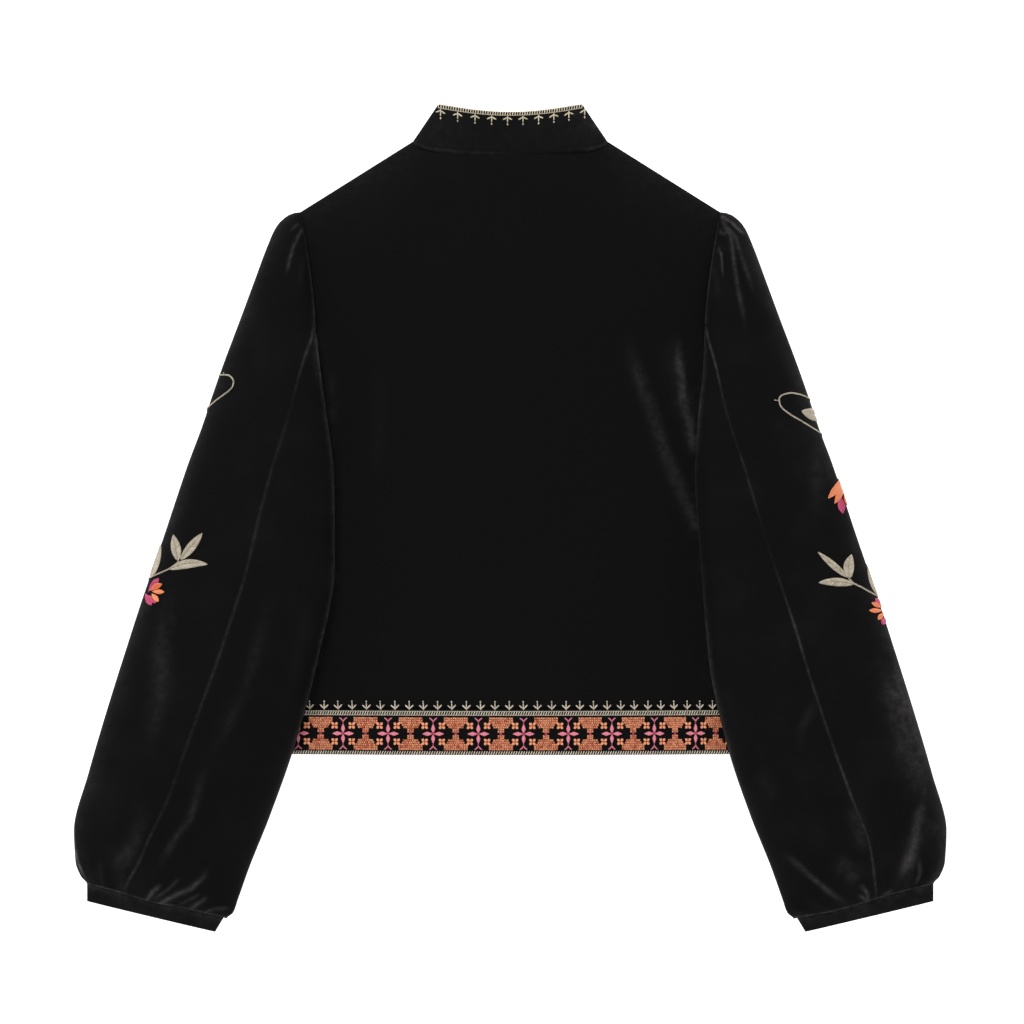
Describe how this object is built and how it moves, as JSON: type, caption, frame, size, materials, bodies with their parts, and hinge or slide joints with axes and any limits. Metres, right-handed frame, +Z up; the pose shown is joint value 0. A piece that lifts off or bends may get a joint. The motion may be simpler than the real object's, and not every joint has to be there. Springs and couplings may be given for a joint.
{
  "type": "embroidered jacket",
  "caption": "Cropped black velvet jacket with stand collar, balloon sleeves gathered into narrow cuffs and an embroidered hem border, laid flat with its back up.",
  "frame": {"origin": "centre of the bounding box, on the surface the jacket lies on", "axes": "+Z up from that surface, +Y towards the collar, +X to the wearer's right"},
  "size_m": [0.785, 0.7448, 0.0443],
  "materials": {
    "black_velvet": "cut pile, matt with a soft sheen at grazing angles",
    "embroidered_border": "cross-stitch on a black ground between braids"
  },
  "bodies": {
    "root": {"back_panel": "black_velvet", "front_left": "black_velvet", "front_right": "black_velvet", "hem_band_back": "embroidered_border", "hem_band_front_left": "embroidered_border", "hem_band_front_right": "embroidered_border", "collar": "black_velvet", "sleeve_left_outer": "black_velvet", "sleeve_left_inner": "black_velvet", "sleeve_right_outer": "black_velvet", "sleeve_right_inner": "black_velvet", "cuff_left": "black_velvet", "cuff_right": "black_velvet"}
  },
  "joints": []
}
